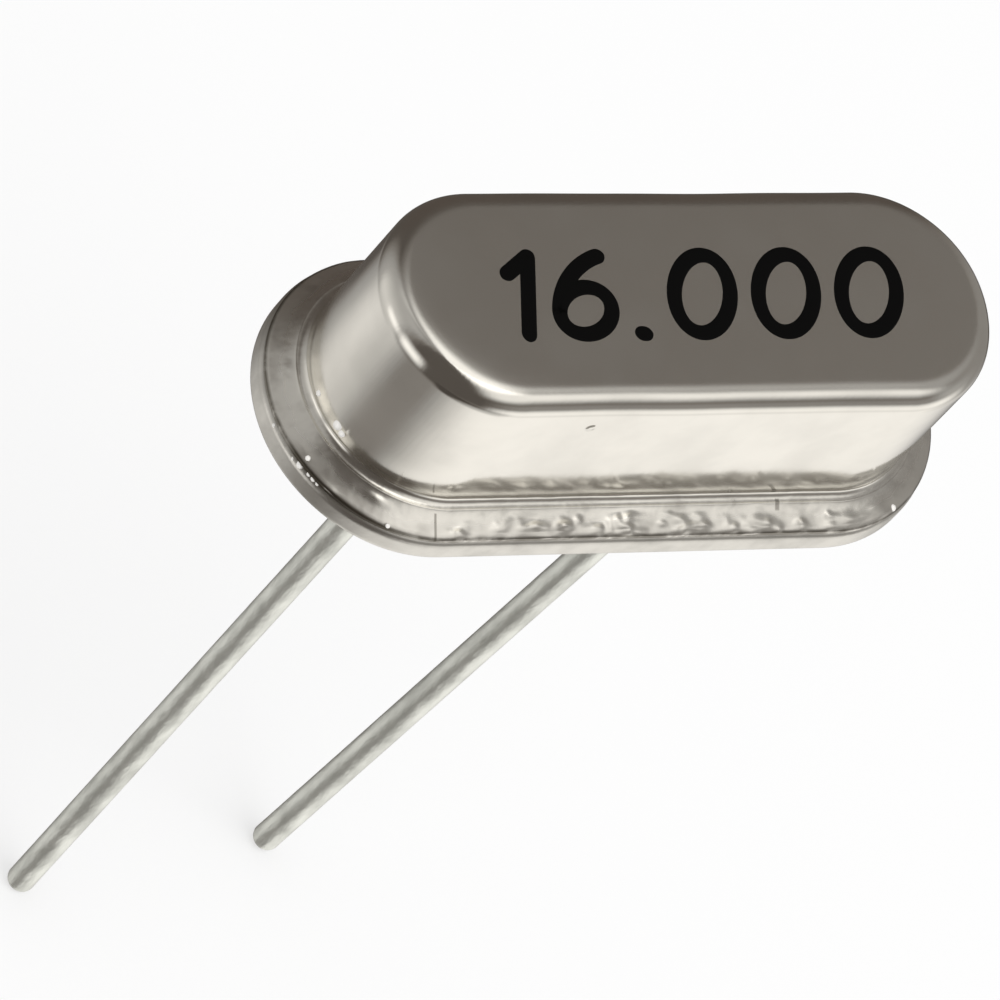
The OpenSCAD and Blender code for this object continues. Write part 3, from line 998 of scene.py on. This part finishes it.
class CRYSTAL_OT_print(bpy.types.Operator):
    """Prints a plain number on the can's top, in rounded strokes of ink"""

    bl_idname = "crystal.print"
    bl_label = "Print"

    def execute(self, context):
        sizes = context.scene.crystal_print
        tall = sizes.height - sizes.stroke
        gap = (sizes.stroke + sizes.space) / tall
        strokes, at = [], 0.0
        for character in sizes.text:
            lines, width = digit_strokes(character)
            strokes += [(line + (at, 0), closed) for line, closed in lines]
            at += width + gap
        across = at - gap
        shear = math.tan(sizes.slant)
        high = TOP_Z - INK_BELOW_TOP * MM
        low = high - sizes.film - context.scene.crystal_can.sink
        parts = []
        for line, closed in strokes:
            x = (line[:, 0] - across / 2) * tall
            y = (line[:, 1] - 0.5) * tall
            placed = np.column_stack([sizes.centre_x + x + shear * y, sizes.centre_y + y])
            parts.append(stroke_solid(placed, closed, sizes.stroke, low, high))
        ink = dull_paste("ink", context.scene.crystal_finishes.ink, roughness=0.6, grain_size=0.04 * MM,
                         depth=0.0005 * MM, gloss=0.1)
        finished(make_piece("printed_number", parts), ink, "ink")
        return {"FINISHED"}


# --- studio -------------------------------------------------------------------------------------------------


def heading(azimuth, elevation):
    """The unit direction at an azimuth from +X and an elevation, both in degrees."""
    a, e = math.radians(azimuth), math.radians(elevation)
    return Vector((math.cos(a) * math.cos(e), math.sin(a) * math.cos(e), math.sin(e)))


# The tent's panels: azimuth of the middle, half width that is even and half width where it has faded, low
# edge, high edge and how softly those fade, all in degrees, and the brightness. Where panels overlap their
# brightnesses add up, and a shade takes some away.
TENT_PANELS = (
    (299, 10, 46, 33, 85, 13, 0.80),    # softbox over the front
    (358, 40, 105, 66, 120, 10, 0.95),  # roof
    (352, 10, 45, 40, 80, 10, 0.20),    # edge of the roof at the right
    (85, 25, 60, 56, 120, 15, 0.20),    # edge of the roof at the left
    (196, 2, 17, -22, 13, 17, 1.00),    # window at the left
    (170, 3, 14, -14, 8, 10, 0.45),     # second window at the left
    (149, 12, 49, -90, 83, 20, 0.33),   # wall at the left
    (200, 15, 60, -90, -35, 12, 0.14),  # floor at the left
    (309, 18, 90, -90, -24, 14, 0.92),  # table in front
    (258, 18, 36, -43, -20, 6, -0.35),  # shade over the table's left edge
    (5, 12, 45, -43, -20, 6, -0.25),    # shade over the table's right edge
    (305, 14, 44, -24, -4, 9, 0.80),    # far edge of the table in front
    (309, 10, 50, -10, 22, 12, 0.17),   # horizon in front
    (0, 26, 46, -26, 45, 17, 0.17),     # wall at the right
    (155, 14, 28, -34, 20, 30, 0.29),   # horizon behind
    (120, 8, 48, -90, -42, 8, 0.33),    # table behind
)
TENT_BETWEEN = 0.095  # brightness between the panels
TENT_LEAST = 0.07  # and under the shades
TENT_DARK = (1.0, 0.86, 0.75, 1)  # colour where the tent is dark
TENT_DARK_BEHIND = (1.0, 0.80, 0.67, 1)  # the same behind the object
TENT_WHITE = (1.0, 0.975, 0.94, 1)  # colour where it is bright
TENT_TURNS_WHITE = (0.04, 0.34)  # brightness where that change starts and ends
BEHIND = (65, 5)  # azimuth and elevation of what is behind the object
FLOOR_GAP = 0.01  # the floor's distance below the lead tips, in mm
KEY_SIDE, KEY_AWAY = 0.25, 0.35  # the key light's size and distance, in metres
KEY_PLACE = (295, 62)  # its azimuth and elevation


class CRYSTAL_OT_studio(bpy.types.Operator):
    """Sets up the floor, the light tent, the lights and the camera"""

    bl_idname = "crystal.studio"
    bl_label = "Studio"

    def execute(self, context):
        sizes = context.scene.crystal_studio
        self.floor(sizes, context.scene.crystal_finishes)
        self.tent(sizes)
        self.lights(context, sizes)
        self.camera(context, sizes)
        context.scene.view_settings.view_transform = "Standard"
        return {"FINISHED"}

    def floor(self, sizes, finishes):
        """A flat disc just under the lead tips, which a camera below it sees through."""
        steps = 64
        a = 2 * np.pi * np.arange(steps) / steps
        r = np.array([1e-6, sizes.floor_radius])
        level = np.full((2, steps), CAD_BOX[0][2] - FLOOR_GAP * MM)
        points = np.stack([np.outer(r, np.cos(a)), np.outer(r, np.sin(a)), level], axis=-1)
        floor = make_piece("studio_floor", [skin(points, close_columns=True)])
        floor.data.flip_normals()
        material = bpy.data.materials.new("floor_paper")
        sheet = Sheet(material)
        paper = sheet.node("ShaderNodeBsdfDiffuse", None, {"Color": opaque(finishes.floor)})
        white = sheet.node("ShaderNodeEmission", None, {"Color": opaque(finishes.floor), "Strength": 1.0})
        seen = sheet.node("ShaderNodeLightPath", out="Is Camera Ray")
        both = sheet.node("ShaderNodeMixShader", None, {0: seen * sizes.floor_lift, 1: paper, 2: white})
        under = sheet.node("ShaderNodeNewGeometry", out="Backfacing")
        clear = sheet.node("ShaderNodeBsdfTransparent")
        from_below = sheet.node("ShaderNodeMixShader", None, {0: seen * under, 1: both, 2: clear})
        sheet.node("ShaderNodeOutputMaterial", None, {"Surface": from_below})
        floor.data.materials.append(material)
        floor.visible_glossy = False

    def tent(self, sizes):
        """A ball round the object that only reflections see, bright where its panels are."""
        points = sizes.tent_radius * unit_ball(rings=25, steps=48)
        tent = make_piece("light_tent", [skin(points, close_columns=True)])
        material = bpy.data.materials.new("tent_cloth")
        sheet = Sheet(material)
        toward = sheet.vector("NORMALIZE", sheet.places())
        height = sheet.node("ShaderNodeSeparateXYZ", None, {0: toward}, out="Z").arcsine()
        flat = sheet.vector("NORMALIZE", sheet.vector("MULTIPLY", toward, (1, 1, 0)))
        light = TENT_BETWEEN
        for azimuth, even, faded, *edges, soft, bright in TENT_PANELS:
            facing = sheet.vector("DOT_PRODUCT", flat, heading(azimuth, 0), out="Value")
            across = sheet.ease(facing, math.cos(math.radians(faded)), math.cos(math.radians(even)))
            fades = [(math.radians(edge - soft), math.radians(edge + soft)) for edge in edges]
            light = light + across * sheet.band(height, *fades) * bright
        light = light.larger(TENT_LEAST)
        behind = sheet.vector("DOT_PRODUCT", toward, heading(*BEHIND), out="Value")
        dark = sheet.mix(sheet.ease(behind, 0.7, 1.0), TENT_DARK, TENT_DARK_BEHIND)
        start, end = TENT_TURNS_WHITE
        hue = sheet.mix(((light - start) / (end - start)).clamp(), dark, TENT_WHITE)
        glow = sheet.node("ShaderNodeEmission", None, {"Color": hue, "Strength": light})
        sheet.node("ShaderNodeOutputMaterial", None, {"Surface": glow})
        material.cycles.emission_sampling = "NONE"
        tent.data.materials.append(material)
        tent.visible_camera = tent.visible_diffuse = tent.visible_shadow = tent.visible_transmission = False
        tent.visible_volume_scatter = False

    def lights(self, context, sizes):
        """A key light that gives the floor its share of the light, and an even world, white to the camera."""
        toward = heading(*KEY_PLACE)
        radiance = math.pi * sizes.key_strength / (KEY_SIDE ** 2 / KEY_AWAY ** 2 * toward.z)
        lamp = bpy.data.lights.new("key_light", "AREA")
        lamp.size = KEY_SIDE
        lamp.energy = radiance * math.pi * KEY_SIDE ** 2
        key = bpy.data.objects.new("key_light", lamp)
        turn = toward.to_track_quat("Z", "Y").to_matrix().to_4x4()
        key.matrix_world = Matrix.Translation(toward * KEY_AWAY) @ turn
        key.visible_glossy = False
        key.visible_camera = False
        context.scene.collection.objects.link(key)
        world = bpy.data.worlds.new("room")
        context.scene.world = world
        sheet = Sheet(world)
        seen = sheet.node("ShaderNodeLightPath", out="Is Camera Ray")
        level = sizes.world_strength + seen * (1 - sizes.world_strength)
        glow = sheet.node("ShaderNodeBackground", None, {"Color": (1, 1, 1, 1), "Strength": level})
        sheet.node("ShaderNodeOutputWorld", None, {"Surface": glow})

    def camera(self, context, sizes):
        """A camera at a distance from its aim on the seat's plane, turned about its own view."""
        lens = bpy.data.cameras.new("camera")
        lens.lens = sizes.camera_lens
        lens.clip_start, lens.clip_end = 1 * MM, 5.0
        back = heading(math.degrees(sizes.camera_azimuth), math.degrees(sizes.camera_elevation))
        across = Vector((0, 0, 1)).cross(back).normalized()
        upward = back.cross(across)
        turn = sizes.camera_roll
        right = across * math.cos(turn) + upward * math.sin(turn)
        top = upward * math.cos(turn) - across * math.sin(turn)
        place = Vector((sizes.aim_x, sizes.aim_y, 0)) + back * sizes.camera_distance
        camera = bpy.data.objects.new("camera", lens)
        camera.matrix_world = Matrix((right, top, back)).transposed().to_4x4()
        camera.location = place
        context.scene.collection.objects.link(camera)
        context.scene.camera = camera


# --- sidebar and registration -------------------------------------------------------------------------------

GROUPS = {
    "crystal_can": CanSizes,
    "crystal_base": BaseSizes,
    "crystal_leads": LeadSizes,
    "crystal_seals": SealSizes,
    "crystal_print": PrintSizes,
    "crystal_finishes": Finishes,
    "crystal_studio": StudioSizes,
}
OPERATORS = (CRYSTAL_OT_can, CRYSTAL_OT_base, CRYSTAL_OT_leads, CRYSTAL_OT_seals, CRYSTAL_OT_works,
             CRYSTAL_OT_print, CRYSTAL_OT_studio)


class CRYSTAL_PT_pieces(bpy.types.Panel):
    """Lists the operators, and the sizes and colours"""

    bl_idname = "CRYSTAL_PT_pieces"
    bl_label = "Quartz crystal unit"
    bl_space_type = "VIEW_3D"
    bl_region_type = "UI"
    bl_category = "Crystal"

    def draw(self, context):
        for operator in OPERATORS:
            self.layout.operator(operator.bl_idname)
        for group in GROUPS:
            box = self.layout.box()
            for name in GROUPS[group].__annotations__:
                box.prop(getattr(context.scene, group), name)


def register():
    """Registers the classes and hangs each group of sizes on the scene."""
    for group in (*GROUPS.values(), *OPERATORS, CRYSTAL_PT_pieces):
        bpy.utils.register_class(group)
    for name, group in GROUPS.items():
        setattr(bpy.types.Scene, name, PointerProperty(type=group))


def unregister():
    """Takes the groups and the classes off again."""
    for name in GROUPS:
        delattr(bpy.types.Scene, name)
    for group in (CRYSTAL_PT_pieces, *reversed(OPERATORS), *reversed(GROUPS.values())):
        bpy.utils.unregister_class(group)


def main():
    register()
    for operator in OPERATORS:
        getattr(bpy.ops.crystal, operator.bl_idname.partition(".")[2])()


if __name__ == "__main__":
    main()
